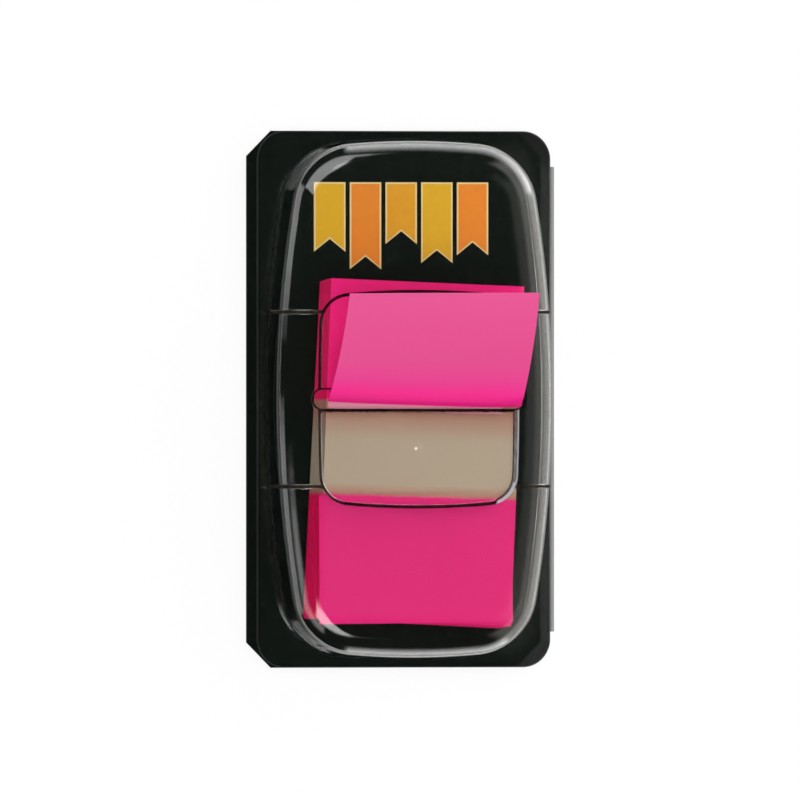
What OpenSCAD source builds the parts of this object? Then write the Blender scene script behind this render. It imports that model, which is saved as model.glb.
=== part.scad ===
/* [Backing card] */
// Width of the card and of the clear sheets that clasp it
card_w = 38.6; // [37:0.1:46]
// Length of the card and of the clear sheets
card_l = 67.8; // [66:0.1:80]
// Thickness of the card
card_t = 0.45; // [0.3:0.05:0.8]
// Length of the cut across each corner of the card, along either edge
card_chamfer = 3.2; // [1:0.1:5]
// How far the card stands out past the left edge of the clear sheets
card_shift = 1.24; // [0.2:0.02:2]

/* [Rear card] */
// Thickness of the plain card behind the printed one
rear_t = 0.3; // [0.2:0.05:0.5]

/* [Clear shell] */
// Thickness of the clear sheet that the shell is formed from
film_t = 0.3; // [0.2:0.05:0.45]
// Corner radius of the flange, of the rear card and of the flap behind it
flange_r = 3.6; // [1:0.1:6]
// Length of the rolled fold that joins the flange to the flap
fold_l = 58.8; // [40:0.1:60]

/* [Dome] */
// Flange left at each side of the dome, where the dome is widest
side_margin = 1.0; // [0.8:0.1:1.5]
// Flange left at the middle of each end of the dome
end_margin = 1.1; // [0.8:0.1:1.5]
// How far the dome sits to the right of the middle of the flange
dome_offset = 0.15; // [0:0.05:0.2]
// Radius of the two long curved sides
dome_side_r = 155; // [100:5:400]
// Radius of the two curved ends
dome_end_r = 100; // [60:5:400]
// Radius of the dome's corners, seen from above
dome_corner_r = 8.5; // [5:0.1:11]
// How far the wall leans in between its foot and its shoulder
dome_draft = 0.35; // [0.1:0.05:1]
// Radius of the hollow at the foot of the wall
foot_r = 0.4; // [0.2:0.05:0.6]
// Radius of the shoulder at the top of the wall
shoulder_r = 2.6; // [1:0.1:3.5]

/* [Window] */
// Room between a flag's side and the side of the window
window_room = 0.5; // [0.3:0.1:1.5]
// Length of the window along the pad
window_l = 27.6; // [20:0.1:34]
// Depth of the window below the top of the dome
window_depth = 0.5; // [0.3:0.05:0.9]
// Width of the sloped edge all round the window
window_slope = 0.6; // [0.3:0.05:1.2]
// Corner radius of the window
window_corner_r = 4; // [2:0.1:6]
// Radius of the window's long sides
window_side_r = 300; // [150:10:600]
// Radius of the window's ends
window_end_r = 106; // [60:1:400]

/* [Slot] */
// Height of the slot that the flags are pulled through
slot_h = 2.4; // [1.6:0.1:3.2]
// Room between a flag's side and the end of the slot
slot_room = 1.15; // [1:0.05:2]

/* [Side ribs] */
// Distance of each thin rib from the middle of the dome
rib_at = 11; // [6:0.1:18]
// Width of a rib
rib_w = 0.6; // [0.3:0.05:0.8]
// Height of a rib above the dome
rib_h = 0.12; // [0.08:0.02:0.2]

/* [Flags] */
// Width of a flag
flag_w = 25.4; // [20:0.1:26.4]
// Length of a flag
flag_l = 43.2; // [38:0.1:45]
// Length of a flag's coloured tab
tab_l = 16; // [10:0.1:20]
// Thickness of a flag
flag_t = 0.106; // [0.08:0.002:0.14]
// Number of flags in the pad under the lead flag
flag_count = 50; // [20:1:60]
// Room between the top flag and the window
pad_room = 0.35; // [0.2:0.05:0.6]
// How far the pad lies to the right of the middle of the dome
pad_offset = 0.72; // [0:0.02:0.76]
// How far the pad has slid towards the lower end
pad_slide = 6.8; // [5:0.1:8.5]
// Turn of the pad in its plane
pad_turn = -1.8; // [-2:0.1:0]
// How far the lowest flag lies behind the top one
pad_lean = 0.6; // [0:0.1:1.5]

/* [Lead flag] */
// Place of the bend in the slot, from the slot's lower edge
bend_at = 0.1; // [0:0.05:0.3]
// Radius of the bend
bend_r = 0.8; // [0.4:0.1:1]
// Angle at which the tab leaves the slot
lift = 42; // [34:1:60]
// Angle of the tab at its tip
tip_lift = 14.5; // [0:0.5:30]

/* [Hidden] */

// Steps along a quarter of an outline: its side, its corner and its end
side_steps = 7;
corner_steps = 7;
end_steps = 4;
// Steps round the foot, round the shoulder and down the window's edge
foot_steps = 3;
shoulder_steps = 5;
slope_steps = 4;
// Steps along the bend and along the tab of the lead flag
bend_steps = 6;
tab_steps = 12;

// Heights: flap, rear card, card, flange, pad, window and top of the dome
rear_z = film_t;
card_z = rear_z + rear_t;
flange_z = card_z + card_t;
flange_top = flange_z + film_t;
dome_z = flange_z + film_t / 2;
pad_t = flag_count * flag_t;
pad_top = flange_z + pad_t;
window_z = pad_top + flag_t + pad_room + film_t;
dome_top = window_z + window_depth;

// The fold wraps the edges of the two cards
fold_r = flange_top / 2;
fold_inner_r = (rear_t + card_t) / 2;

// The whole object is centred on the origin, from the card's edge to the fold
shell_x = (card_shift - fold_r) / 2;
card_x = shell_x - card_shift;
dome_x = shell_x + dome_offset;
pad_x = dome_x + pad_offset;

dome_w = card_w - 2 * side_margin;
dome_l = card_l - 2 * end_margin;
window_w = flag_w + 2 * window_room;
slot_w = flag_w + 2 * slot_room;

function dir(a) = [cos(a), sin(a)];

// The meeting point, on the left of the line from c1 to c2, of two circles
function meet(c1, r1, c2, r2) =
    let (d = norm(c2 - c1), u = (c2 - c1) / d, along = (r1 * r1 - r2 * r2 + d * d) / (2 * d))
    c1 + along * u + sqrt(r1 * r1 - along * along) * [-u.y, u.x];

// A quarter turned into a whole outline by its two mirror lines
function all_round(q) =
    let (last = len(q) - 1)
    concat(
        q,
        [for (i = [last - 1:-1:0]) [-q[i].x, q[i].y]],
        [for (i = [1:last]) -q[i]],
        [for (i = [last - 1:-1:1]) [q[i].x, -q[i].y]]
    );

// A barrel outline: curved sides and ends joined by corner arcs, moved inwards by inset
function barrel(w, l, side_r, end_r, corner_r, inset) =
    let (
        side_c = [w / 2 - side_r, 0],
        end_c = [0, l / 2 - end_r],
        corner_c = meet(side_c, side_r - corner_r, end_c, end_r - corner_r),
        from_side = corner_c - side_c,
        from_end = corner_c - end_c,
        a1 = atan2(from_side.y, from_side.x),
        a2 = atan2(from_end.y, from_end.x)
    )
    all_round(concat(
        [for (i = [0:side_steps - 1]) side_c + (side_r - inset) * dir(a1 * i / side_steps)],
        [for (i = [0:corner_steps - 1])
            corner_c + (corner_r - inset) * dir(a1 + (a2 - a1) * i / corner_steps)],
        [for (i = [0:end_steps]) end_c + (end_r - inset) * dir(a2 + (90 - a2) * i / end_steps)]
    ));

function dome_outline(inset) = barrel(dome_w, dome_l, dome_side_r, dome_end_r, dome_corner_r, inset);

function window_outline(inset) =
    barrel(window_w, window_l, window_side_r, window_end_r, window_corner_r, inset);

function raised(outline, z) = [for (p = outline) [p.x, p.y, z]];

// The wall of the dome as pairs of inset and height, t below its outer face, starting at height z
function wall_profile(t, z) = concat(
    [[-foot_r, z]],
    [for (i = [0:foot_steps])
        let (a = 90 * i / foot_steps)
        [-foot_r + (foot_r + t) * sin(a), flange_top + foot_r - (foot_r + t) * cos(a)]],
    [for (i = [0:shoulder_steps])
        let (a = 90 * i / shoulder_steps, c = dome_draft + shoulder_r)
        [c - (shoulder_r - t) * cos(a), dome_top - shoulder_r + (shoulder_r - t) * sin(a)]]
);

// The sloped edge of the window as pairs of inset and height, t below its outer face
function slope_profile(t) = concat(
    [[-t, dome_top + 1]],
    [for (i = [0:slope_steps])
        let (s = i / slope_steps)
        [window_slope * s - t, dome_top - t - window_depth * (1 - cos(180 * s)) / 2]]
);

// The middle line of the lead flag as pairs of length along the pad and height
function flag_path() =
    let (
        z = pad_top + flag_t / 2,
        bend_y = pad_slide - slot_h / 2 + bend_at,
        bend_l = bend_r * lift * PI / 180,
        tail_l = flag_l - tab_l - bend_l,
        tab_r = tab_l / ((lift - tip_lift) * PI / 180),
        top_of_bend = [bend_y + bend_r * sin(lift), z + bend_r * (1 - cos(lift))],
        tab_c = top_of_bend + tab_r * [sin(lift), -cos(lift)]
    )
    concat(
        [[bend_y - tail_l, z]],
        [for (i = [0:bend_steps])
            let (a = lift * i / bend_steps)
            [bend_y + bend_r * sin(a), z + bend_r * (1 - cos(a))]],
        [for (i = [1:tab_steps])
            let (a = lift - (lift - tip_lift) * i / tab_steps)
            tab_c + tab_r * [-sin(a), cos(a)]]
    );

// A path widened by half a thickness to each side, as a closed outline
function widened(path, t) =
    let (
        last = len(path) - 1,
        side = [for (i = [0:last])
            let (along = path[min(i + 1, last)] - path[max(i - 1, 0)])
            t / 2 * [-along.y, along.x] / norm(along)]
    )
    concat(
        [for (i = [0:last]) path[i] - side[i]],
        [for (i = [last:-1:0]) path[i] + side[i]]
    );

// A solid skinned over outlines that lie above each other
module skin(rings) {
    n = len(rings[0]);
    top = len(rings) - 1;
    polyhedron(
        points = [for (r = rings, p = r) p],
        faces = concat(
            [[for (i = [0:n - 1]) i]],
            [for (j = [0:top - 1], i = [0:n - 1])
                [j * n + i, (j + 1) * n + i, (j + 1) * n + (i + 1) % n, j * n + (i + 1) % n]],
            [[for (i = [n - 1:-1:0]) top * n + i]]
        )
    );
}

// A plate with rounded corners, of the card's width and length
module sheet(t) {
    corner = [card_w / 2 - flange_r, card_l / 2 - flange_r];
    linear_extrude(t) {
        square([card_w, 2 * corner.y], center = true);
        square([2 * corner.x, card_l], center = true);
        for (x = [-1, 1], y = [-1, 1])
            translate([x * corner.x, y * corner.y]) circle(flange_r, $fn = 48);
    }
}

// The solid under a face of the dome that lies t below its outer face
module dome_solid(t, z) {
    skin([for (p = wall_profile(t, z)) raised(dome_outline(p.x), p.y)]);
}

// The space taken out of the dome above the window, t below its outer face
module window_cut(t) {
    profile = slope_profile(t);
    skin([for (i = [len(profile) - 1:-1:0]) raised(window_outline(profile[i].x), profile[i].y)]);
}

// Thin ribs over the wall and shoulder at both sides, from the foot to the window's edge
module side_ribs() {
    intersection() {
        dome_solid(-rib_h, dome_z);
        for (y = [-rib_at, rib_at])
            translate([-card_w / 2, y - rib_w / 2, 0]) cube([card_w, rib_w, 2 * dome_top]);
    }
}

module outer_dome() {
    difference() {
        union() {
            dome_solid(0, dome_z);
            side_ribs();
        }
        window_cut(0);
    }
}

module inner_dome() {
    difference() {
        dome_solid(film_t, card_z + card_t / 2);
        window_cut(film_t);
    }
}

// The opening of the slot, with round ends
module slot_cut() {
    run = (slot_w - slot_h) / 2;
    translate([0, 0, flange_top]) linear_extrude(dome_top) {
        square([2 * run, slot_h], center = true);
        for (x = [-run, run]) translate([x, 0]) circle(slot_h / 2, $fn = 32);
    }
}

// The half-round fold along the right edge of the card
module fold() {
    translate([card_w / 2, fold_l / 2, fold_r]) rotate([90, 0, 0]) linear_extrude(fold_l) difference() {
        circle(fold_r, $fn = 48);
        circle(fold_inner_r, $fn = 48);
        translate([-2 * fold_r, -fold_r]) square(2 * fold_r);
    }
}

module clear_shell() {
    color([0.86, 0.88, 0.87, 0.35]) translate([shell_x, 0, 0]) {
        sheet(film_t);
        fold();
        difference() {
            union() {
                translate([0, 0, flange_z]) sheet(film_t);
                translate([dome_offset, 0, 0]) outer_dome();
            }
            translate([dome_offset, 0, 0]) {
                inner_dome();
                slot_cut();
            }
        }
    }
}

module backing_card() {
    w = card_w / 2;
    l = card_l / 2;
    c = card_chamfer;
    color([0.07, 0.08, 0.075]) translate([card_x, 0, card_z]) linear_extrude(card_t)
        polygon([
            [w, l - c], [w - c, l], [c - w, l], [-w, l - c],
            [-w, c - l], [c - w, -l], [w - c, -l], [w, c - l]
        ]);
}

module rear_card() {
    color([0.16, 0.17, 0.165]) translate([shell_x, 0, rear_z]) sheet(rear_t);
}

// Puts a shape drawn along the pad's length and height into its place on the card
module along_pad() {
    translate([pad_x, -pad_slide, 0]) rotate([0, 0, pad_turn]) translate([-flag_w / 2, 0, 0])
        rotate([90, 0, 90]) linear_extrude(flag_w) children();
}

module flag_pad() {
    end = flag_l / 2;
    color([0.86, 0.16, 0.46]) along_pad()
        polygon([[end - pad_lean, flange_z], [end, pad_top], [-end, pad_top], [-end - pad_lean, flange_z]]);
}

module lead_flag() {
    color([0.92, 0.3, 0.58]) along_pad() polygon(widened(flag_path(), flag_t));
}

backing_card();
rear_card();
clear_shell();
flag_pad();
lead_flag();
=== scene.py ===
import math
import random

import bmesh
import bpy
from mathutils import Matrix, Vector
from mathutils.geometry import delaunay_2d_cdt


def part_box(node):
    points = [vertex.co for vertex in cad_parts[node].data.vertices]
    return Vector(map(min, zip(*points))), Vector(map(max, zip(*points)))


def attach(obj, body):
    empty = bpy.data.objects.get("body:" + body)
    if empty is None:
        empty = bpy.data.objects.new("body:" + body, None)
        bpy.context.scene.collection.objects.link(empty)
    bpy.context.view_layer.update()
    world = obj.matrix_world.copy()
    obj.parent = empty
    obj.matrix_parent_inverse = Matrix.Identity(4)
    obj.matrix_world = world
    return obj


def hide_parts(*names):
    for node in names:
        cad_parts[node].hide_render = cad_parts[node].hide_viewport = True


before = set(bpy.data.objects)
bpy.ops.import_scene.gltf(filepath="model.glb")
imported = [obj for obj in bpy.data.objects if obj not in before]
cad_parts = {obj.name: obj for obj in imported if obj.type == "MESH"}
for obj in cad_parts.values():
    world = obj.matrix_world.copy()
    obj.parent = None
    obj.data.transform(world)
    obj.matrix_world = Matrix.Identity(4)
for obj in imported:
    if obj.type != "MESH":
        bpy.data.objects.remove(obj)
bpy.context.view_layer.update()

MM = 0.001
BODY = "root"

# The floor: its paleness, how much of it glows white, and how bright it is in reflections, which
# grows by so much for each metre past a box round the object, up to a limit
PALE = 0.9
GLOW_SHARE = 0.9
MIRRORED_NEAR = 0.25
MIRRORED_RISE = 85
MIRRORED_FAR = 3.5
NEAR_MIDDLE = (-0.025, 0, 0)
NEAR_HALF = (0.059, 0.034, 0)

# Sizes in millimetres and angles in degrees, most of them as in the part's source
FILM_T = 0.3
FLANGE_R = 3.6
FOLD_L = 58.8
SIDE_MARGIN = 1.0
END_MARGIN = 1.1
DOME_OFFSET = 0.15
DOME_SIDE_R = 155
DOME_END_R = 100
DOME_CORNER_R = 8.5
DOME_DRAFT = 0.35
FOOT_R = 0.12
SHOULDER_R = 2.6
WINDOW_ROOM = 0.5
WINDOW_L = 27.6
WINDOW_DEPTH = 0.5
WINDOW_SLOPE = 0.6
WINDOW_CORNER_R = 4
WINDOW_SIDE_R = 300
WINDOW_END_R = 106
SLOT_H = 2.4
SLOT_ROOM = 1.15
RIB_AT = 11
RIB_W = 0.6
RIB_H = 0.12
RIB_RUN_OUT = 0.4
LIP_W = 0.45
LIP_DIP = 0.08
RIM_W = 0.14
GATE = (0.0, -5.97)
GATE_R = 0.45
GATE_H = 0.12
FLAG_W = 25.4
FLAG_L = 43.2
TAB_L = 16
FLAG_T = 0.106
FLAG_COUNT = 50
PAD_ROOM = 0.35
PAD_OFFSET = 0.72
PAD_SLIDE = 6.8
PAD_TURN = -1.8
PAD_LEAN = 0.6
BEND_AT = 0.1
BEND_R = 0.8
LIFT = 42
TIP_LIFT = 14.5
LEAD_SHIFT = 0.15
TAB_TWIST = -0.27
FROSTED_L = 1.2
SAG = 0.28

# Where the shell's tints of painted shade and highlight, and the flags' colours, begin and end, in
# millimetres
SLOT_EDGE_W = 0.2
SLOT_LOWER_EDGE_W = 0.34
SLOT_LIP_W = 0.62
SLOPE_EDGE_W = 0.38
SLOPE_RIGHT_X = 10.3
GLINT_W = 0.12
CORNER_GLINT_W = 0.3
CORNER_GLINT_Y = -10.6
SLOPE_TINT_W = 0.48
LOWER_PINK_Y = -5.4
UPPER_PINK_Y = 6.65
FOLD_TINT_W = 0.25
FOLD_CLEAR_W = 0.55
RIB_TINT_H = 0.04
FOOT_TINT_W = 0.6
BOARD_SHADE_Y = (28, 31)

# The pad's films: the share of its thickness that each fills, how the stack turns and leans with
# depth, how far each film strays, how short of its lower end it is drawn, and the top film's place
FILM_SHARE = 0.93
STACK_TURN = -0.55
STACK_TWIST = -0.65
TURN_STRAY = 0.05
SIDE_LEAN = -0.28
SIDE_STRAY = 0.035
END_STRAY = 0.045
TOP_SHORT = 0.25
DEEP_SHORT = 0.4
TOP_FILM_TURN = 2.2
TOP_FILM_SHIFT = (-0.85, 0.1)
TOP_FILM_END_Y = -5.3

# Heights and places that follow from the frame
rear_low, rear_high = [Vector(v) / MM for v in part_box("rear_card")]
card_high = Vector(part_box("backing_card")[1]) / MM
pad_high = Vector(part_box("flag_pad")[1]) / MM
SHEET_W = rear_high.x - rear_low.x
SHEET_L = rear_high.y - rear_low.y
SHELL_X = (rear_high.x + rear_low.x) / 2
FLANGE_Z = card_high.z
FLANGE_TOP = FLANGE_Z + FILM_T
PAD_TOP = pad_high.z
DOME_TOP = PAD_TOP + FLAG_T + PAD_ROOM + FILM_T + WINDOW_DEPTH
FOLD_R = FLANGE_TOP / 2
DOME_X = SHELL_X + DOME_OFFSET
PAD_X = DOME_X + PAD_OFFSET
PLATEAU_INSET = DOME_DRAFT + SHOULDER_R

# The shoulder turns tightly out of the wall, then wider, and runs out softly into a crowned top
WALL_DRAFT = 0.15
CROWN_W = 1.7
CROWN_TILT = math.radians(8)
CROWN_DROP = CROWN_W * math.tan(CROWN_TILT) / 2
EDGE_R = 1.4
EDGE_TURN = math.radians(50)
EDGE_INSET = WALL_DRAFT + EDGE_R * (1 - math.cos(EDGE_TURN))
WIDE_R = (PLATEAU_INSET - EDGE_INSET) / (math.cos(EDGE_TURN) - math.sin(CROWN_TILT))
WIDE_Z = DOME_TOP - CROWN_DROP - WIDE_R * (math.cos(CROWN_TILT) - math.sin(EDGE_TURN))
EDGE_Z = WIDE_Z - EDGE_R * math.sin(EDGE_TURN)


# Camera: the photograph looks down from the left, along the length's normal
def make_camera():
    tilt = math.radians(16.3)
    px_per_mm = 7.918
    distance = 4.0
    target = Vector((-1.0, -0.095, 4.0)) * MM
    data = bpy.data.cameras.new("camera")
    data.sensor_width = 36
    data.lens = data.sensor_width * distance / (800 / px_per_mm * MM)
    data.clip_start = 0.01
    data.clip_end = 20
    cam = bpy.data.objects.new("camera", data)
    bpy.context.scene.collection.objects.link(cam)
    away = Vector((-math.sin(tilt), 0, math.cos(tilt)))
    cam.location = target + distance * away
    cam.rotation_euler = (0, -tilt, 0)
    bpy.context.scene.camera = cam


# Materials
def srgb(r, g, b):
    """A colour as it looks on screen, from 0 to 255, as the linear colour that a shader takes."""
    def one(v):
        v = v / 255
        return v / 12.92 if v <= 0.04045 else ((v + 0.055) / 1.055) ** 2.4
    return (one(r), one(g), one(b), 1)


class Nodes:
    """A material and its node tree, with short ways to add and join nodes."""

    def __init__(self, name):
        self.mat = bpy.data.materials.new(name)
        self.mat.use_nodes = True
        self.tree = self.mat.node_tree
        self.tree.nodes.clear()
        self.out = self.add("ShaderNodeOutputMaterial")

    def add(self, kind, **values):
        node = self.tree.nodes.new(kind)
        for key, value in values.items():
            if hasattr(node, key):
                setattr(node, key, value)
            else:
                node.inputs[key.replace("_", " ")].default_value = value
        return node

    def join(self, a, b):
        self.tree.links.new(a, b)

    def principled(self, **values):
        node = self.add("ShaderNodeBsdfPrincipled")
        for key, value in values.items():
            node.inputs[key.replace("_", " ")].default_value = value
        return node

    def noise(self, scale, detail=2.0, vector=None):
        node = self.add("ShaderNodeTexNoise")
        node.inputs["Scale"].default_value = scale
        node.inputs["Detail"].default_value = detail
        if vector:
            self.join(vector, node.inputs["Vector"])
        return node.outputs["Fac"]

    def place(self):
        """The point on the object in its own coordinates, which are the row's in metres."""
        return self.add("ShaderNodeTexCoord").outputs["Object"]

    def ramp(self, fac, stops):
        node = self.add("ShaderNodeValToRGB")
        elements = node.color_ramp.elements
        while len(elements) < len(stops):
            elements.new(0.5)
        for element, (position, colour) in zip(elements, stops):
            element.position = position
            element.color = colour
        self.join(fac, node.inputs["Fac"])
        return node.outputs["Color"]

    def bump(self, height, strength, distance):
        node = self.add("ShaderNodeBump")
        node.inputs["Strength"].default_value = strength
        node.inputs["Distance"].default_value = distance
        self.join(height, node.inputs["Height"])
        return node.outputs["Normal"]

    def show(self, shader):
        self.join(shader, self.out.inputs["Surface"])
        return self.mat


def let_light_through(n, glass, shadow):
    """Lets the light of the room pass through clear plastic to what lies under it."""
    through = n.add("ShaderNodeBsdfTransparent")
    through.inputs["Color"].default_value = (shadow, shadow, shadow, 1)
    mix = n.add("ShaderNodeMixShader")
    n.join(n.add("ShaderNodeLightPath").outputs["Is Shadow Ray"], mix.inputs[0])
    n.join(glass.outputs[0], mix.inputs[1])
    n.join(through.outputs[0], mix.inputs[2])
    return n.show(mix.outputs[0])


def clear_plastic():
    """Clear sheet, faintly wavy from its forming, with a few rubbed spots."""
    n = Nodes("clear_plastic")
    place = n.place()
    glass = n.principled(Base_Color=srgb(250, 252, 250), IOR=1.5, Transmission_Weight=1.0)
    stops = [(0.55, (0.02, 0.02, 0.02, 1)), (0.75, (0.07, 0.07, 0.07, 1))]
    rubbed = n.ramp(n.noise(420, 5, place), stops)
    n.join(rubbed, glass.inputs["Roughness"])
    n.join(n.bump(n.noise(160, 2, place), 0.3, 0.00008), glass.inputs["Normal"])
    return let_light_through(n, glass, 0.96)


def plastic_edge():
    """The tight bends and cut edges of the sheet, which turn light away: their dark brown tint is
    painted shade.
    """
    n = Nodes("clear_plastic_edge")
    glass = n.principled(Roughness=0.3, IOR=1.12, Transmission_Weight=1.0)
    # Dark brown painted shade, uneven along the edge
    tone = n.ramp(n.noise(800, 3, n.place()), [(0.3, srgb(26, 20, 18)), (0.75, srgb(58, 46, 40))])
    n.join(tone, glass.inputs["Base Color"])
    return let_light_through(n, glass, 0.5)


def streaked_shade_plastic(name, dark, light):
    """The slot's lower lip and the thin ribs, tinted dark brown in streaks across: painted shade where
    the lip's cut edge and the ribs' creases turn light away.
    """
    n = Nodes(name)
    film = n.principled(Roughness=0.4, IOR=1.12, Transmission_Weight=0.75)
    stretched = n.add("ShaderNodeMapping")
    stretched.inputs["Scale"].default_value = (2600, 500, 500)
    n.join(n.place(), stretched.inputs["Vector"])
    streaks = n.noise(1, 3, stretched.outputs[0])
    tone = n.ramp(streaks, [(0.36, dark), (0.64, light)])
    n.join(tone, film.inputs["Base Color"])
    return let_light_through(n, film, 0.7)


def plastic_slope():
    """The window's right slope, which turns away from the light and greys what lies under it: its
    blue-grey tint is painted shade.
    """
    n = Nodes("clear_plastic_slope")
    glass = n.principled(Roughness=0.25, IOR=1.2, Transmission_Weight=1.0)
    # Blue-grey painted shade, uneven along the slope
    tone = n.ramp(n.noise(900, 2, n.place()), [(0.3, srgb(150, 158, 174)), (0.7, srgb(176, 186, 204))])
    n.join(tone, glass.inputs["Base Color"])
    return let_light_through(n, glass, 0.8)


def edge_glint_and_shade(name, colour, clearness):
    """A cut or sharply turned edge of the sheet, given a flat tint: a pale tint is a painted highlight
    where the edge catches the light, a dark one is painted shade where it turns light away.
    """
    n = Nodes(name)
    film = n.principled(Base_Color=colour, Roughness=0.35, IOR=1.2, Transmission_Weight=clearness)
    return let_light_through(n, film, 0.8)


def plastic_foot():
    """The bend where the wall meets the flange, low against the card, tinted grey and given a low index:
    the grey tint is painted shade that keeps it hardly seen.
    """
    n = Nodes("clear_plastic_foot")
    glass = n.principled(Roughness=0.3, IOR=1.1, Transmission_Weight=1.0)
    glass.inputs["Base Color"].default_value = srgb(196, 198, 196)
    return let_light_through(n, glass, 0.9)


def plastic_fold():
    """The bend at the right edge, tinted dark beside the card's edge and clear away from it: the dark
    tint is painted shade from the card's edge.
    """
    n = Nodes("clear_plastic_fold")
    glass = n.principled(Roughness=0.1, IOR=1.04, Transmission_Weight=1.0)
    apart = n.add("ShaderNodeSeparateXYZ")
    n.join(n.place(), apart.inputs[0])
    span = n.add("ShaderNodeMapRange")
    edge = SHELL_X + SHEET_W / 2
    span.inputs["From Min"].default_value = (edge - FOLD_TINT_W) * MM
    span.inputs["From Max"].default_value = (edge + FOLD_CLEAR_W) * MM
    n.join(apart.outputs["X"], span.inputs["Value"])
    # Painted shade, darkest by the card's edge and fading to clear
    tone = n.ramp(
        span.outputs[0],
        [
            (0.05, srgb(104, 104, 102)),
            (0.24, srgb(148, 148, 146)),
            (0.4, srgb(190, 190, 188)),
            (0.54, srgb(226, 226, 225)),
            (0.7, srgb(250, 250, 250)),
            (0.9, srgb(255, 255, 255)),
        ],
    )
    n.join(tone, glass.inputs["Base Color"])
    return let_light_through(n, glass, 0.9)


def coated_card():
    n = Nodes("coated_card")
    place = n.place()
    card = n.principled(Roughness=0.35, Specular_IOR_Level=0.08)
    tone = n.ramp(n.noise(900, 4, place), [(0.35, srgb(3, 9, 5)), (0.7, srgb(8, 15, 10))])
    n.join(tone, card.inputs["Base Color"])
    n.join(n.bump(n.noise(2600, 3, place), 0.25, 0.00003), card.inputs["Normal"])
    return n.show(card.outputs[0])


def grey_board():
    n = Nodes("grey_board")
    place = n.place()
    board = n.principled(Roughness=0.7, Specular_IOR_Level=0.15)
    tone = n.ramp(n.noise(1500, 5, place), [(0.3, srgb(26, 28, 27)), (0.75, srgb(36, 38, 37))])
    # Darker at its upper end, where the card in front of it shades it
    apart = n.add("ShaderNodeSeparateXYZ")
    n.join(place, apart.inputs[0])
    span = n.add("ShaderNodeMapRange")
    span.inputs["From Min"].default_value = BOARD_SHADE_Y[0] * MM
    span.inputs["From Max"].default_value = BOARD_SHADE_Y[1] * MM
    n.join(apart.outputs["Y"], span.inputs["Value"])
    shade = n.ramp(span.outputs[0], [(0, (1, 1, 1, 1)), (1, (0.35, 0.35, 0.35, 1))])
    shaded = n.add("ShaderNodeVectorMath", operation="MULTIPLY")
    n.join(tone, shaded.inputs[0])
    n.join(shade, shaded.inputs[1])
    n.join(shaded.outputs[0], board.inputs["Base Color"])
    n.join(n.bump(n.noise(3000, 4, place), 0.4, 0.00004), board.inputs["Normal"])
    return n.show(board.outputs[0])


def along_flag(n):
    """Length along the pad from its middle, in millimetres, for a point on the object."""
    place = n.place()
    turned = n.add("ShaderNodeVectorRotate")
    turned.rotation_type = "Z_AXIS"
    turned.inputs["Center"].default_value = (PAD_X * MM, -PAD_SLIDE * MM, 0)
    turned.inputs["Angle"].default_value = math.radians(-PAD_TURN)
    n.join(place, turned.inputs["Vector"])
    apart = n.add("ShaderNodeSeparateXYZ")
    n.join(turned.outputs[0], apart.inputs[0])
    scaled = n.add("ShaderNodeMath", operation="MULTIPLY_ADD")
    scaled.inputs[1].default_value = 1 / MM
    scaled.inputs[2].default_value = PAD_SLIDE
    n.join(apart.outputs["Y"], scaled.inputs[0])
    return place, scaled.outputs[0]


def flag_colours(n, lower_pink, upper_pink, blush, clear):
    """Pink at both ends of the pad and clear in its middle, with soft uneven borders."""
    place, y = along_flag(n)
    wobble = n.add("ShaderNodeMath", operation="MULTIPLY_ADD")
    wobble.inputs[1].default_value = 0.3
    n.join(n.noise(500, 2, place), wobble.inputs[0])
    n.join(y, wobble.inputs[2])
    span = n.add("ShaderNodeMapRange")
    span.inputs["From Min"].default_value = -FLAG_L / 2
    span.inputs["From Max"].default_value = FLAG_L / 2
    n.join(wobble.outputs[0], span.inputs["Value"])
    low = (FLAG_L / 2 + LOWER_PINK_Y) / FLAG_L
    high = (FLAG_L / 2 + UPPER_PINK_Y) / FLAG_L
    one_mm = 1 / FLAG_L
    return place, n.ramp(
        span.outputs[0],
        [
            (low - 0.15 * one_mm, lower_pink),
            (low + 0.3 * one_mm, blush),
            (low + 1.5 * one_mm, clear),
            (high - 5 * one_mm, clear),
            (high - 1.6 * one_mm, blush),
            (high - 0.3 * one_mm, blush),
            (high + 0.05 * one_mm, upper_pink),
        ],
    )


def flag_face():
    n = Nodes("flag_face")
    film = n.principled(Roughness=0.45, Specular_IOR_Level=0.2)
    # The upper pink is lighter than the lower: painted light against the shade the lead tab casts on
    # that end
    place, colour = flag_colours(
        n, srgb(201, 12, 103), srgb(229, 20, 114), srgb(158, 114, 97), srgb(161, 144, 125)
    )
    n.join(colour, film.inputs["Base Color"])
    n.join(n.bump(n.noise(700, 3, place), 0.3, 0.00003), film.inputs["Normal"])
    return n.show(film.outputs[0])


def flag_edges():
    n = Nodes("flag_edges")
    film = n.principled(Roughness=0.45, Specular_IOR_Level=0.2)
    _, colour = flag_colours(
        n, srgb(226, 0, 62), srgb(212, 30, 76), srgb(160, 108, 100), srgb(160, 146, 130)
    )
    n.join(colour, film.inputs["Base Color"])
    return n.show(film.outputs[0])


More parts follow.
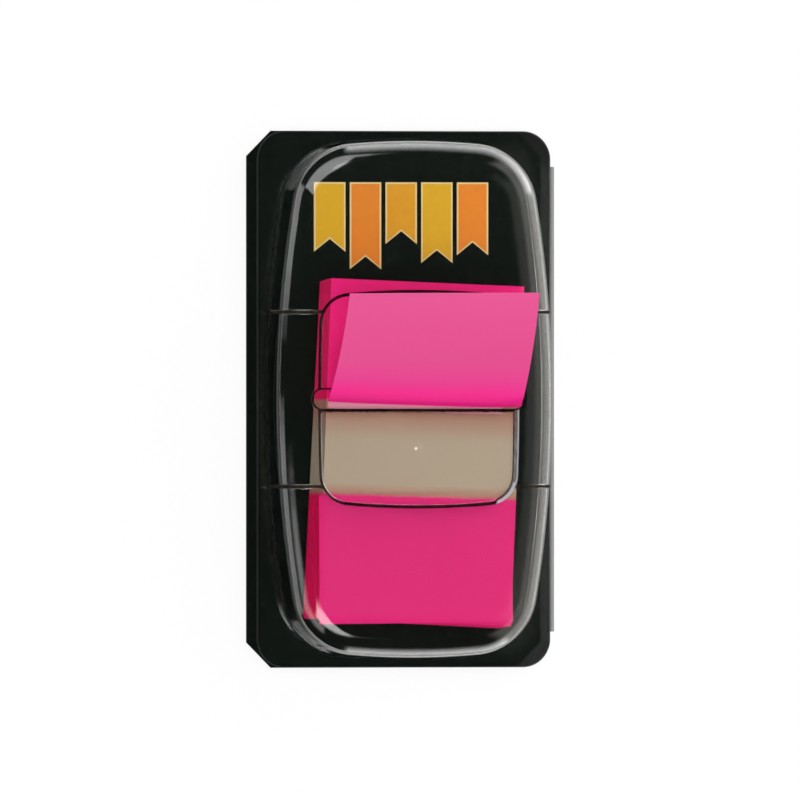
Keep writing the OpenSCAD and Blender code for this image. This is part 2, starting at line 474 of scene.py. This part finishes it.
def lead_pink():
    """The tab's film, deep pink where it leaves the slot and paler towards its tip. Its brightest pink,
    just above the slot, is painted light against the shade of the steep bend, and the paler tip is a
    painted sheen.
    """
    n = Nodes("lead_pink")
    film = n.principled(Roughness=0.5, Specular_IOR_Level=0.22)
    place, y = along_flag(n)
    wobble = n.add("ShaderNodeMath", operation="MULTIPLY_ADD")
    wobble.inputs[1].default_value = 1.2
    n.join(n.noise(120, 2, place), wobble.inputs[0])
    n.join(y, wobble.inputs[2])
    span = n.add("ShaderNodeMapRange")
    span.inputs["From Min"].default_value = PAD_SLIDE
    span.inputs["From Max"].default_value = PAD_SLIDE + TAB_L
    n.join(wobble.outputs[0], span.inputs["Value"])
    tone = n.ramp(
        span.outputs[0],
        [
            (0.0, srgb(224, 8, 122)),
            (0.07, srgb(242, 8, 138)),
            (0.17, srgb(227, 48, 138)),
            (0.32, srgb(220, 68, 136)),
            (0.95, srgb(218, 81, 140)),
        ],
    )
    n.join(tone, film.inputs["Base Color"])
    n.join(n.bump(n.noise(900, 3, place), 0.2, 0.00002), film.inputs["Normal"])
    return n.show(film.outputs[0])


def lead_clear(name, colour, alpha):
    n = Nodes(name)
    film = n.principled(Base_Color=colour, Roughness=0.3, Specular_IOR_Level=0.5, Alpha=alpha)
    return n.show(film.outputs[0])


def print_ink(name, colour):
    n = Nodes(name)
    ink = n.principled(Roughness=0.4, Specular_IOR_Level=0.35)
    r, g, b, _ = colour
    worn = (r * 0.93, g * 0.93, b * 0.93, 1)
    tone = n.ramp(n.noise(1200, 3, n.place()), [(0.3, colour), (0.7, worn)])
    n.join(tone, ink.inputs["Base Color"])
    return n.show(ink.outputs[0])


def pale_floor():
    """White to the eye, brighter in reflections away from the object, and pale to everything else."""
    n = Nodes("pale_floor")
    floor = n.principled(Base_Color=(PALE, PALE, PALE, 1), Roughness=0.9, Specular_IOR_Level=0.1)
    path = n.add("ShaderNodeLightPath")
    glow = n.add("ShaderNodeEmission")
    beyond = n.place()
    for operation, value in (
        ("SUBTRACT", NEAR_MIDDLE),
        ("ABSOLUTE", None),
        ("SUBTRACT", NEAR_HALF),
        ("MAXIMUM", (0, 0, 0)),
        ("LENGTH", None),
    ):
        step = n.add("ShaderNodeVectorMath", operation=operation)
        n.join(beyond, step.inputs[0])
        if value:
            step.inputs[1].default_value = value
        beyond = step.outputs["Value" if operation == "LENGTH" else "Vector"]
    mirrored = n.add("ShaderNodeMath", operation="MULTIPLY_ADD")
    mirrored.inputs[1].default_value = MIRRORED_RISE
    mirrored.inputs[2].default_value = MIRRORED_NEAR
    n.join(beyond, mirrored.inputs[0])
    capped = n.add("ShaderNodeMath", operation="MINIMUM")
    capped.inputs[1].default_value = MIRRORED_FAR
    n.join(mirrored.outputs[0], capped.inputs[0])
    more = n.add("ShaderNodeMath", operation="SUBTRACT")
    more.inputs[1].default_value = 1
    n.join(capped.outputs[0], more.inputs[0])
    strength = n.add("ShaderNodeMath", operation="MULTIPLY_ADD")
    strength.inputs[2].default_value = 1
    n.join(path.outputs["Is Glossy Ray"], strength.inputs[0])
    n.join(more.outputs[0], strength.inputs[1])
    n.join(strength.outputs[0], glow.inputs["Strength"])
    seen = path.outputs["Is Camera Ray"]
    for kind in ("Is Glossy Ray", "Is Transmission Ray"):
        either = n.add("ShaderNodeMath", operation="MAXIMUM")
        n.join(seen, either.inputs[0])
        n.join(path.outputs[kind], either.inputs[1])
        seen = either.outputs[0]
    share = n.add("ShaderNodeMath", operation="MULTIPLY")
    share.inputs[1].default_value = GLOW_SHARE
    n.join(seen, share.inputs[0])
    mix = n.add("ShaderNodeMixShader")
    n.join(share.outputs[0], mix.inputs[0])
    n.join(floor.outputs[0], mix.inputs[1])
    n.join(glow.outputs[0], mix.inputs[2])
    return n.show(mix.outputs[0])


# Mesh helpers, which take millimetres
def add_object(name, mesh, *materials):
    obj = bpy.data.objects.new(name, mesh)
    for material in materials:
        obj.data.materials.append(material)
    bpy.context.scene.collection.objects.link(obj)
    return obj


def mesh_from(name, points, faces, weld=None):
    mesh = bpy.data.meshes.new(name)
    mesh.from_pydata([Vector(p) * MM for p in points], [], faces)
    if weld:
        bm = bmesh.new()
        bm.from_mesh(mesh)
        bmesh.ops.remove_doubles(bm, verts=bm.verts, dist=weld * MM)
        bm.to_mesh(mesh)
        bm.free()
    mesh.validate()
    mesh.update()
    return mesh


def smooth(mesh, angle):
    mesh.polygons.foreach_set("use_smooth", [True] * len(mesh.polygons))
    mesh.set_sharp_from_angle(angle=math.radians(angle))


def thicken(obj, thickness, sharp_angle, even=True, share=None):
    """Gives the sheet its thickness, or a share of it at each point, away from its normals."""
    solid = obj.modifiers.new("thickness", "SOLIDIFY")
    solid.thickness = thickness * MM
    solid.offset = -1
    solid.use_even_offset = even
    solid.use_quality_normals = True
    if share:
        group = obj.vertex_groups.new(name="thickness")
        for v in obj.data.vertices:
            group.add([v.index], share(v.co / MM), "REPLACE")
        solid.vertex_group = group.name
    bpy.context.view_layer.update()
    whole = bpy.data.meshes.new_from_object(obj.evaluated_get(bpy.context.evaluated_depsgraph_get()))
    obj.modifiers.remove(solid)
    obj.data = whole
    smooth(whole, sharp_angle)


def fill(loops, extra=()):
    """Triangles over the region in the outer loop, with every loop and extra line kept as edges."""
    points = []
    edges = []
    for loop in loops:
        start = len(points)
        points += loop
        edges += [(start + i, start + (i + 1) % len(loop)) for i in range(len(loop))]
    for line in extra:
        start = len(points)
        points += line
        edges += [(start + i, start + i + 1) for i in range(len(line) - 1)]
    verts, _, faces, *_ = delaunay_2d_cdt([Vector(p) for p in points], edges, [], 0, 1e-6, False)
    return verts, faces


def middle(verts, face):
    return sum((verts[i] for i in face), Vector((0, 0))) / len(face)


class Barrel:
    """An outline of curved sides and ends, joined by corner arcs, round the origin."""

    def __init__(self, width, length, side_r, end_r, corner_r):
        self.side_r, self.end_r, self.corner_r = side_r, end_r, corner_r
        self.side_c = Vector((width / 2 - side_r, 0))
        self.end_c = Vector((0, length / 2 - end_r))
        r1, r2 = side_r - corner_r, end_r - corner_r
        apart = self.end_c - self.side_c
        along = (r1 * r1 - r2 * r2 + apart.length_squared) / (2 * apart.length)
        unit = apart.normalized()
        left = Vector((-unit.y, unit.x))
        self.corner_c = self.side_c + along * unit + math.sqrt(r1 * r1 - along * along) * left
        from_side = self.corner_c - self.side_c
        from_end = self.corner_c - self.end_c
        self.a1 = math.atan2(from_side.y, from_side.x)
        self.a2 = math.atan2(from_end.y, from_end.x)

    def quarter(self, side_steps, corner_steps, end_steps, rows=()):
        """Spots along a quarter as arc and angle, or as height where the side crosses a rib's rows."""
        side = [("side", self.a1 * i / side_steps) for i in range(side_steps)]
        if rows:
            side = [s for s in side if not rows[0] - 0.7 < self.side_r * math.sin(s[1]) < rows[-1] + 0.4]
            side += [("row", y) for y in rows]
        spots = sorted(side, key=lambda s: s[1] / self.side_r if s[0] == "row" else math.sin(s[1]))
        corner, end = self.a2 - self.a1, math.pi / 2 - self.a2
        spots += [("corner", self.a1 + corner * i / corner_steps) for i in range(corner_steps)]
        spots += [("end", self.a2 + end * i / end_steps) for i in range(end_steps + 1)]
        return spots

    def ring(self, quarter, inset):
        """The whole outline moved inwards by inset, as pairs of point and outward direction."""
        first = []
        for arc, a in quarter:
            if arc == "row":
                arc, a = "side", math.asin(a / (self.side_r - inset))
            centre = {"side": self.side_c, "corner": self.corner_c, "end": self.end_c}[arc]
            radius = {"side": self.side_r, "corner": self.corner_r, "end": self.end_r}[arc]
            out = Vector((math.cos(a), math.sin(a)))
            first.append((centre + (radius - inset) * out, out))
        flipped = [(Vector((-p.x, p.y)), Vector((-o.x, o.y))) for p, o in first[-2::-1]]
        opposite = [(-p, -o) for p, o in first[1:]]
        last = [(Vector((p.x, -p.y)), Vector((o.x, -o.y))) for p, o in first[-2:0:-1]]
        return first + flipped + opposite + last

    def inset_at(self, x, y):
        """How far inside the outline a point lies."""
        p = Vector((abs(x), abs(y)))
        d = p - self.corner_c
        if d.length > 0 and self.a1 <= math.atan2(d.y, d.x) <= self.a2:
            return self.corner_r - d.length
        return min(self.side_r - (p - self.side_c).length, self.end_r - (p - self.end_c).length)


DOME = Barrel(
    SHEET_W - 2 * SIDE_MARGIN, SHEET_L - 2 * END_MARGIN, DOME_SIDE_R, DOME_END_R, DOME_CORNER_R
)
WINDOW = Barrel(
    FLAG_W + 2 * WINDOW_ROOM, WINDOW_L, WINDOW_SIDE_R, WINDOW_END_R, WINDOW_CORNER_R
)


def rib(y):
    """Height of the thin ribs, for a distance from the middle of the dome."""
    t = (abs(y) - RIB_AT) / (RIB_W / 2)
    return RIB_H * math.cos(math.pi * t / 2) ** 2 if abs(t) < 1 else 0.0


def ease(t):
    return (1 - math.cos(math.pi * min(max(t, 0), 1))) / 2


def slot_distance(x, y):
    """How far a point lies outside the slot."""
    run = (FLAG_W + 2 * SLOT_ROOM - SLOT_H) / 2
    return math.hypot(max(abs(x) - run, 0), y) - SLOT_H / 2


def top_height(x, y):
    """Height of the dome's top at a point, with its crown, recess, lips, ribs and moulding mark."""
    inset = WINDOW.inset_at(x, y)
    run_out = max(1 - (DOME.inset_at(x, y) - PLATEAU_INSET) / CROWN_W, 0)
    lip = max(1 - slot_distance(x, y) / LIP_W, 0)
    gate = math.hypot(x - GATE[0], y - GATE[1]) / GATE_R
    return (
        DOME_TOP
        + GATE_H * math.exp(-gate * gate)
        - CROWN_DROP * run_out ** 2
        - WINDOW_DEPTH * ease(inset / WINDOW_SLOPE)
        - LIP_DIP * lip ** 2
        + rib(y) * ease(-inset / RIB_RUN_OUT)
    )


def wall_profile():
    """The wall from foot to shoulder: inset, height, and how the normal leans outwards and up."""
    steps = []
    for i in range(9):
        a = math.pi / 2 * i / 8
        up, out = math.sin(a), math.cos(a)
        steps.append((-FOOT_R * (1 - up), FLANGE_TOP + FOOT_R * (1 - out), up, out))
    foot_z = FLANGE_TOP + FOOT_R
    for i in range(1, 4):
        t = i / 4
        steps.append((WALL_DRAFT * t, foot_z + (EDGE_Z - foot_z) * t, 1.0, 0.0))
    for i in range(13):
        a = EDGE_TURN * i / 12
        out, up = math.cos(a), math.sin(a)
        steps.append((WALL_DRAFT + EDGE_R * (1 - out), EDGE_Z + EDGE_R * up, out, up))
    for i in range(1, 13):
        a = EDGE_TURN + (math.pi / 2 - CROWN_TILT - EDGE_TURN) * i / 12
        inset = EDGE_INSET + WIDE_R * (math.cos(EDGE_TURN) - math.cos(a))
        z = WIDE_Z + WIDE_R * (math.sin(a) - math.sin(EDGE_TURN))
        # The last ring stays a smooth outline, so that the ribs leave no slivers on the top
        steps.append((inset, z, math.cos(a) if i < 12 else 0.0, math.sin(a)))
    return steps


def slot_outline(grown=0.0):
    run = (FLAG_W + 2 * SLOT_ROOM - SLOT_H) / 2
    r = SLOT_H / 2 + grown
    outline = []
    for end, start in ((run, -90), (-run, 90)):
        for i in range(25):
            a = math.radians(start + 180 * i / 24)
            outline.append((end + r * math.cos(a), r * math.sin(a)))
    return outline


def sheet_inset(x, y):
    """How far inside the sheet's outline a point lies."""
    r = FLANGE_R
    across, along = abs(x) - SHEET_W / 2 + r, abs(y) - SHEET_L / 2 + r
    return r - math.hypot(max(across, 0), max(along, 0)) - min(max(across, along), 0)


def sheet_outline(inset=0.0):
    """The flange's outline, whose right edge has the rows of the fold, and those rows."""
    w, l, r = SHEET_W / 2 - inset, SHEET_L / 2 - inset, FLANGE_R - inset
    fold_rows = [-FOLD_L / 2 + FOLD_L * i / 60 for i in range(61)]
    outline = [(w, y) for y in fold_rows]
    corners = ((w - r, l - r, 0), (r - w, l - r, 90), (r - w, r - l, 180), (w - r, r - l, 270))
    for x, y, start in corners:
        for i in range(17):
            a = math.radians(start + 90 * i / 16)
            outline.append((x + r * math.cos(a), y + r * math.sin(a)))
        if start == 90:
            outline += [(-w, l - r - (2 * l - 2 * r) * i / 40) for i in range(1, 40)]
    return outline, fold_rows


def drawn_thin(point):
    """The share of its thickness that the sheet keeps at a point, as it thins where it is drawn up."""
    drawn = (point.z - FLANGE_TOP) / (EDGE_Z - FLANGE_TOP)
    return 1 - 0.45 * min(max(drawn, 0), 1)


# Of the shell's materials, GLINT is a painted highlight and all others but CLEAR are painted shade
CLEAR, EDGE, LIP, RIB, SLOPE, GLINT, FOOT, RIM, FOLD = range(9)


def tint_of(centre):
    """Which of the shell's materials a face takes, from where on the shell it lies."""
    x, y, z = centre.x / MM - DOME_X, centre.y / MM, centre.z / MM
    beside = slot_distance(x, y)
    inset = WINDOW.inset_at(x, y)
    if z > PAD_TOP:
        below_slot = y < 0 and abs(x) < FLAG_W / 2
        if beside < SLOT_EDGE_W or (below_slot and beside < SLOT_LOWER_EDGE_W):
            return EDGE
        if below_slot and beside < SLOT_LIP_W:
            return LIP
        if 0 < inset < SLOPE_EDGE_W and x < SLOPE_RIGHT_X:
            return EDGE
        if 0 < inset < WINDOW_SLOPE and x > SLOPE_RIGHT_X:
            if inset < GLINT_W or (y < CORNER_GLINT_Y and inset < CORNER_GLINT_W):
                return GLINT
            return SLOPE if inset < SLOPE_TINT_W else EDGE
    if z > FLANGE_TOP + 0.05 and rib(y) > RIB_TINT_H and inset < 0:
        return RIB
    low_down = FLANGE_Z - 0.02 < z < FLANGE_TOP + FOOT_R + 0.03
    if low_down and -FOOT_R - 0.001 < DOME.inset_at(x, y) < FOOT_TINT_W:
        return FOOT
    if centre.x / MM > SHELL_X + SHEET_W / 2 - FOLD_TINT_W:
        return FOLD
    if z > FLANGE_Z - 0.02 and sheet_inset(centre.x / MM - SHELL_X, y) < RIM_W:
        return RIM
    return CLEAR


def make_shell(materials):
    """The clear shell as one formed sheet: flange, foot, wall, shoulder, window, slot, fold and flap."""
    points = []
    faces = []

    def take(new_points, new_faces):
        start = len(points)
        points.extend(new_points)
        faces.extend([[start + i for i in f] for f in new_faces])

    rib_rows = [RIB_AT + RIB_W * k / 8 for k in range(-5, 6)]
    quarter = DOME.quarter(40, 26, 14, rib_rows)
    rings = []
    for inset, z, out_share, up_share in wall_profile():
        ring = []
        for p, out in DOME.ring(quarter, inset):
            raised = rib(p.y) * ease((z - FLANGE_TOP) / FOOT_R) * (abs(out.x) > 0.9)
            flat = p + out * raised * out_share
            ring.append((flat.x + DOME_OFFSET, flat.y, z + raised * up_share))
        rings.append(ring)
    count = len(rings[0])
    wall = [p for ring in rings for p in ring]
    quads = []
    for j in range(len(rings) - 1):
        for i in range(count):
            here, beside = j * count + i, j * count + (i + 1) % count
            quads.append((here, beside, beside + count, here + count))
    take(wall, quads)

    # The top inside the shoulder, with the window's slope as a row of outlines
    edge = [(x - DOME_OFFSET, y) for x, y, _ in rings[-1]]
    crown = [
        [p for p, _ in DOME.ring(quarter, PLATEAU_INSET + CROWN_W * share)]
        for share in (0.08, 0.2, 0.35, 0.5, 0.65, 0.8, 1.0)
    ]
    lips = [slot_outline(LIP_W * share) for share in (0.0, 0.15, 0.3, 0.5, 0.75, 1.0)]
    window_quarter = WINDOW.quarter(26, 16, 16, ())
    slopes = [
        [p for p, _ in WINDOW.ring(window_quarter, WINDOW_SLOPE * k / 10)] for k in range(-1, 12)
    ]
    rib_lines = []
    for y in rib_rows:
        inside = DOME.ring([("row", y)], PLATEAU_INSET)[0][0].x
        reach = math.sqrt(WINDOW_SIDE_R ** 2 - y * y) + WINDOW.side_c.x + 0.1
        for sx in (-1, 1):
            for sy in (-1, 1):
                rib_lines.append([(sx * inside, sy * y), (sx * reach, sy * y)])
    gate_rings = [
        [
            (GATE[0] + r * math.cos(math.pi * i / 12), GATE[1] + r * math.sin(math.pi * i / 12))
            for i in range(24)
        ]
        for r in (0.12, 0.25, 0.4, 0.55, 0.7, 0.9, 1.2)
    ]
    verts, tris = fill([edge, *crown, *slopes, *lips, *gate_rings], rib_lines)
    edge_heights = {(round(p[0] - DOME_OFFSET, 4), round(p[1], 4)): p[2] for p in rings[-1]}
    top = []
    for v in verts:
        z = edge_heights.get((round(v.x, 4), round(v.y, 4)), top_height(v.x, v.y))
        top.append((v.x + DOME_OFFSET, v.y, z))
    take(top, [f for f in tris if slot_distance(*middle(verts, f)) > 0])

    # The flange round the foot of the dome
    outline, fold_rows = sheet_outline()
    foot = [(p.x + DOME_OFFSET, p.y) for p, _ in DOME.ring(quarter, -FOOT_R)]
    verts, tris = fill([outline, sheet_outline(RIM_W)[0], foot])
    flange = []
    for f in tris:
        c = middle(verts, f)
        if DOME.inset_at(c.x - DOME_OFFSET, c.y) < -FOOT_R + 1e-4:
            flange.append(f)
    take([(v.x, v.y, FLANGE_TOP) for v in verts], flange)

    # The fold along the right edge, then the flap behind the cards
    turns = 14
    strip = []
    for y in fold_rows:
        for k in range(turns + 1):
            a = math.pi / 2 - math.pi * k / turns
            strip.append((SHEET_W / 2 + FOLD_R * math.cos(a), y, FOLD_R + FOLD_R * math.sin(a)))
    row = turns + 1
    bands = [
        (j * row + k, j * row + k + 1, (j + 1) * row + k + 1, (j + 1) * row + k)
        for j in range(len(fold_rows) - 1)
        for k in range(turns)
    ]
    take(strip, bands)
    verts, tris = fill([outline])
    take([(v.x, v.y, 0) for v in verts], [tuple(reversed(f)) for f in tris])

    moved = [(x + SHELL_X, y, z) for x, y, z in points]
    mesh = mesh_from("formed_shell", moved, faces, weld=0.0005)
    shell = add_object("formed_shell", mesh, *materials)
    thicken(shell, FILM_T, 40, even=False, share=drawn_thin)
    for polygon in shell.data.polygons:
        polygon.material_index = tint_of(polygon.center)
    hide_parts("clear_shell")
    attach(shell, BODY)


def on_pad(x, y, z):
    """A point given across and along the pad, in its place on the card."""
    a = math.radians(PAD_TURN)
    return (
        PAD_X + x * math.cos(a) - y * math.sin(a),
        -PAD_SLIDE + x * math.sin(a) + y * math.cos(a),
        z,
    )


def make_pad(face, edges):
    """The pad as fifty films, each a little out of line, with the lower ones leaning back and turned."""
    shake = random.Random(11)
    points = []
    faces = []
    materials = []
    for k in range(FLAG_COUNT):
        depth = 1 - (k + 1) / FLAG_COUNT
        top = FLANGE_Z + (k + 1) * FLAG_T
        low = top - FLAG_T * FILM_SHARE
        stray = shake.uniform(-TURN_STRAY, TURN_STRAY)
        turn = math.radians(STACK_TURN + STACK_TWIST * depth + stray)
        dx = SIDE_LEAN * depth + shake.uniform(-SIDE_STRAY, SIDE_STRAY)
        dy = -PAD_LEAN * depth + shake.uniform(-END_STRAY, END_STRAY)
        lower, upper = -FLAG_L / 2 + TOP_SHORT + DEEP_SHORT * depth, FLAG_L / 2
        if k == FLAG_COUNT - 1:
            # All but its lower end is clear, so only that end shows
            turn = math.radians(TOP_FILM_TURN)
            dx, dy = TOP_FILM_SHIFT
            lower, upper = -FLAG_L / 2, TOP_FILM_END_Y
        corners = []
        for x, fy in ((-1, lower), (1, lower), (1, upper), (-1, upper)):
            fx = x * FLAG_W / 2
            corners.append((
                fx * math.cos(turn) - fy * math.sin(turn) + dx,
                fx * math.sin(turn) + fy * math.cos(turn) + dy,
            ))
        start = len(points)
        points += [on_pad(x, y, z) for z in (low, top) for x, y in corners]
        faces.append([start + 3, start + 2, start + 1, start])
        faces.append([start + 4, start + 5, start + 6, start + 7])
        materials += [0, 0]
        for i in range(4):
            j = (i + 1) % 4
            faces.append([start + i, start + j, start + 4 + j, start + 4 + i])
            materials.append(1)
    mesh = mesh_from("film_stack", points, faces)
    stack = add_object("film_stack", mesh, face, edges)
    mesh.polygons.foreach_set("material_index", materials)
    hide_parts("flag_pad")
    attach(stack, BODY)


def lead_point(s, x):
    """The lead flag's upper face at length s from its tail and place x across, as the pad lies."""
    twist = TAB_TWIST * x
    lift = math.radians(LIFT + twist)
    tip_lift = math.radians(TIP_LIFT + twist)
    bend_l = BEND_R * lift
    tail_l = FLAG_L - TAB_L - BEND_R * math.radians(LIFT)
    bend_y = PAD_SLIDE - SLOT_H / 2 + BEND_AT
    z = PAD_TOP + FLAG_T
    if s <= tail_l:
        return bend_y - tail_l + s, z
    s -= tail_l
    if s <= bend_l:
        return bend_y + BEND_R * math.sin(s / BEND_R), z + BEND_R * (1 - math.cos(s / BEND_R))
    s -= bend_l
    tab_r = TAB_L / (lift - tip_lift)
    a = lift - s / tab_r
    y = bend_y + BEND_R * math.sin(lift) + tab_r * (math.sin(lift) - math.sin(a))
    return y, z + BEND_R * (1 - math.cos(lift)) + tab_r * (math.cos(a) - math.cos(lift))


def make_lead_flag(pink, clear, frosted):
    """The lead flag as one film: a clear tail on the pad, and a slightly twisted pink tab."""
    across = 32
    tab_start = FLAG_L - TAB_L
    lengths = [tab_start * i / 60 for i in range(60)]
    lengths += [tab_start + TAB_L * i / 48 for i in range(49)]
    points = []
    for s in lengths:
        for i in range(across + 1):
            x = -FLAG_W / 2 + FLAG_W * i / across
            # The border of the pink sags a little between the film's two edges
            bow = 1 - ((x + 1) / 13.8) ** 4
            sag = SAG * bow * max(1 - abs(s - tab_start) / 4, 0)
            y, z = lead_point(s - sag, x)
            points.append(on_pad(x + LEAD_SHIFT, y, z))
    row = across + 1
    faces = []
    materials = []
    for j in range(len(lengths) - 1):
        for i in range(across):
            faces.append([j * row + i, j * row + i + 1, (j + 1) * row + i + 1, (j + 1) * row + i])
            along = lengths[j] - tab_start
            frosted_part = along > -FROSTED_L and i < across - 3
            materials.append(0 if along > -1e-6 else 2 if frosted_part else 1)
    mesh = mesh_from("lead_film", points, faces)
    film = add_object("lead_film", mesh, pink, clear, frosted)
    mesh.polygons.foreach_set("material_index", materials)
    thicken(film, FLAG_T, 40)
    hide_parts("lead_flag")
    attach(film, BODY)


def ribbon_shape(width, length, notch, rim):
    """A hanging ribbon's outline with a notched end, grown by rim, with its top middle at the origin."""
    w = width / 2 + rim
    end, middle_end = -length - 1.6 * rim, -length + notch - 1.1 * rim
    return [(-w, rim), (-w, end), (0, middle_end), (w, end), (w, rim)]


def make_print(inks, rim_ink):
    """A row of ribbons with notched ends, printed on the card above the pad."""
    top_y = 27.2
    pitch = 4.7
    width = 3.7
    lengths = (8.2, 10.4, 7.2, 9.6, 8.6)
    ink_t = 0.012
    for k, length in enumerate(lengths):
        x = (k - 2) * pitch
        for layer, rim, ink in ((1, 0.22, rim_ink), (2, 0.0, inks[k % len(inks)])):
            outline = ribbon_shape(width, length, 1.5, rim)
            low = [(x + px, top_y + py, FLANGE_Z) for px, py in outline]
            high = [(px, py, FLANGE_Z + layer * ink_t) for px, py, _ in low]
            n = len(outline)
            faces = [list(range(n)), list(range(2 * n - 1, n - 1, -1))]
            faces += [[i, n + i, n + (i + 1) % n, (i + 1) % n] for i in range(n)]
            name = f"print_ribbon_{k + 1}_{'rim' if layer == 1 else 'field'}"
            mesh = mesh_from(name, low + high, faces)
            piece = add_object(name, mesh, ink)
            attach(piece, BODY)


# Floor and surroundings
def make_floor():
    half = 2.0 / MM
    corners = [(-half, -half, 0), (half, -half, 0), (half, half, 0), (-half, half, 0)]
    floor = add_object("floor", mesh_from("floor", corners, [[0, 1, 2, 3]]), pale_floor())


def soft_band(tree, value, low, high, blur):
    """1 where value lies between low and high, with both borders blurred."""
    product = tree.nodes.new("ShaderNodeMath")
    product.operation = "MULTIPLY"
    for i, (start, end) in enumerate(((low - blur, low + blur), (high + blur, high - blur))):
        step = tree.nodes.new("ShaderNodeMapRange")
        step.interpolation_type = "SMOOTHSTEP"
        step.inputs["From Min"].default_value = math.radians(start)
        step.inputs["From Max"].default_value = math.radians(end)
        tree.links.new(value, step.inputs["Value"])
        tree.links.new(step.outputs[0], product.inputs[i])
    return product.outputs[0]


# Soft boxes round the table: zenith and azimuth ranges, their blurs, then brightness and colour
WHITE_LIGHT = (1, 1, 1)
WARM_LIGHT = (1, 0.97, 0.92)
SOFT_BOXES = (
    ((20, 52), (72, 150), 3, 2, 2.85, WHITE_LIGHT),
    ((23, 32), (70, 92), 6, 7, 2.4, WHITE_LIGHT),
    ((21, 100), (-20, 20), 4, 8, 0.28, WARM_LIGHT),
    ((34, 100), (-46, 46), 8, 8, 0.4, WARM_LIGHT),
    ((36, 100), (4, 48), 6, 6, 0.6, WARM_LIGHT),
    ((36, 100), (-48, -4), 6, 6, 0.36, WARM_LIGHT),
    ((66, 100), (-50, 30), 10, 8, 1.5, WARM_LIGHT),
    ((68, 100), (12, 84), 14, 4, 4.8, WHITE_LIGHT),
    ((71, 100), (-84, -44), 12, 4, 4.8, WHITE_LIGHT),
    ((8, 30), (-132, -64), 5, 5, 4.8, WHITE_LIGHT),
    ((54, 100), (150, 174), 2, 3, 2.2, WHITE_LIGHT),
    ((57, 100), (-179, -150), 3, 3, 1.9, WHITE_LIGHT),
    ((34, 50), (-173.5, -112), 7, 4, 1.8, WHITE_LIGHT),
)
DIM = 0.02


def make_lights():
    """A dim room with soft boxes at its sides, and white behind everything that the camera sees."""
    world = bpy.data.worlds.new("surroundings")
    world.use_nodes = True
    tree = world.node_tree
    tree.nodes.clear()
    way = tree.nodes.new("ShaderNodeSeparateXYZ")
    tree.links.new(tree.nodes.new("ShaderNodeTexCoord").outputs["Generated"], way.inputs[0])
    zenith = tree.nodes.new("ShaderNodeMath")
    zenith.operation = "ARCCOSINE"
    tree.links.new(way.outputs["Z"], zenith.inputs[0])
    azimuth = tree.nodes.new("ShaderNodeMath")
    azimuth.operation = "ARCTAN2"
    tree.links.new(way.outputs["Y"], azimuth.inputs[0])
    tree.links.new(way.outputs["X"], azimuth.inputs[1])
    total = None
    for (low, high), (first, last), rise, blur, strength, colour in SOFT_BOXES:
        mask = tree.nodes.new("ShaderNodeMath")
        mask.operation = "MULTIPLY"
        tree.links.new(soft_band(tree, zenith.outputs[0], low, high, rise), mask.inputs[0])
        tree.links.new(soft_band(tree, azimuth.outputs[0], first, last, blur), mask.inputs[1])
        tinted = tree.nodes.new("ShaderNodeVectorMath")
        tinted.operation = "MULTIPLY_ADD"
        tinted.inputs[0].default_value = [strength * c for c in colour]
        tinted.inputs[2].default_value = (DIM, DIM, DIM)
        tree.links.new(mask.outputs[0], tinted.inputs[1])
        if total:
            tree.links.new(total, tinted.inputs[2])
        total = tinted.outputs[0]
    dim = tree.nodes.new("ShaderNodeBackground")
    tree.links.new(total, dim.inputs["Color"])
    white = tree.nodes.new("ShaderNodeBackground")
    white.inputs["Color"].default_value = (1, 1, 1, 1)
    mix = tree.nodes.new("ShaderNodeMixShader")
    path = tree.nodes.new("ShaderNodeLightPath")
    out = tree.nodes.new("ShaderNodeOutputWorld")
    tree.links.new(path.outputs["Is Camera Ray"], mix.inputs[0])
    tree.links.new(dim.outputs[0], mix.inputs[1])
    tree.links.new(white.outputs[0], mix.inputs[2])
    tree.links.new(mix.outputs[0], out.inputs["Surface"])
    bpy.context.scene.world = world


def dress(node, material):
    """Gives a CAD node that stays in view its own material."""
    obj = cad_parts[node]
    obj.data.materials.clear()
    obj.data.materials.append(material)


make_camera()
dress("backing_card", coated_card())
dress("rear_card", grey_board())
make_shell([
    clear_plastic(),
    plastic_edge(),
    # The lip's and the ribs' dark brown streaks are painted shade
    streaked_shade_plastic("clear_plastic_lip", srgb(54, 38, 32), srgb(140, 112, 98)),
    streaked_shade_plastic("clear_plastic_rib", srgb(40, 34, 28), srgb(78, 68, 58)),
    plastic_slope(),
    # A pale tint on the window's right slope: painted highlight
    edge_glint_and_shade("clear_plastic_glint", srgb(196, 200, 206), 0.5),
    plastic_foot(),
    # A dark grey tint on the sheet's cut outer edge: painted shade
    edge_glint_and_shade("clear_plastic_rim", srgb(54, 58, 56), 0.5),
    plastic_fold(),
])
make_pad(flag_face(), flag_edges())
make_lead_flag(
    lead_pink(),
    lead_clear("lead_clear", srgb(240, 232, 226), 0.004),
    lead_clear("lead_frosted", srgb(216, 140, 160), 0.75),
)
make_print(
    [
        print_ink("ink_yellow", srgb(194, 148, 4)),
        print_ink("ink_orange", srgb(202, 114, 16)),
        print_ink("ink_amber", srgb(195, 135, 8)),
    ],
    print_ink("ink_cream", srgb(203, 180, 124)),
)
make_floor()
make_lights()
bpy.context.scene.view_settings.view_transform = "Standard"
